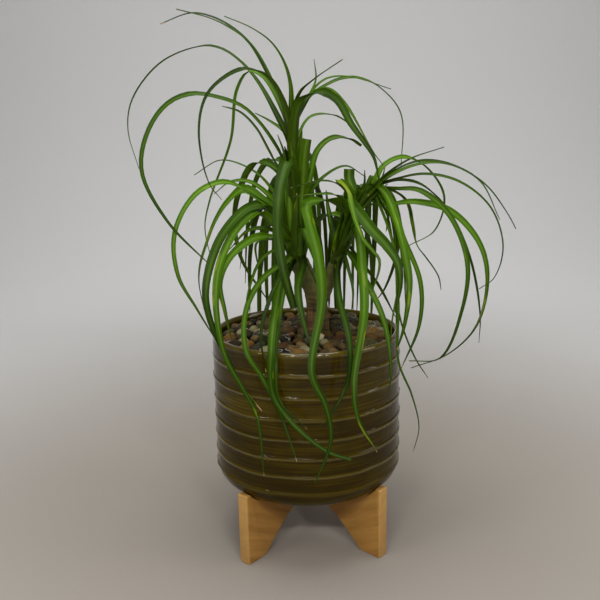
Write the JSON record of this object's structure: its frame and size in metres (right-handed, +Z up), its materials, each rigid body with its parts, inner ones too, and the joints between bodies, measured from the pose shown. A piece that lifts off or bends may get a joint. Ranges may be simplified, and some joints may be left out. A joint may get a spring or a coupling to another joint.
{
  "type": "potted ponytail palm",
  "caption": "Ponytail palm with two heads of long arching strap leaves, in a ribbed glazed pot topped with river pebbles, on a stand of crossed wooden boards.",
  "frame": {"origin": "on the pot's axis, at the level of the surface that the stand's feet rest on", "axes": "+Z up along the pot's axis; -Y is the front that the picture shows; +X to the right of that view"},
  "size_m": [0.4026, 0.3038, 0.5585],
  "materials": {
    "light_wood": "satin",
    "olive_glaze": "gloss",
    "potting_soil": "matte",
    "river_pebble": "satin",
    "bark": "matte",
    "leaf_green": "satin"
  },
  "bodies": {
    "root": {"stand_board_right": "light_wood", "stand_board_left": "light_wood", "pot": "olive_glaze", "soil": "potting_soil", "pebbles": "river_pebble", "trunk": "bark", "tall_crown": "leaf_green", "side_crown": "leaf_green"}
  },
  "joints": []
}
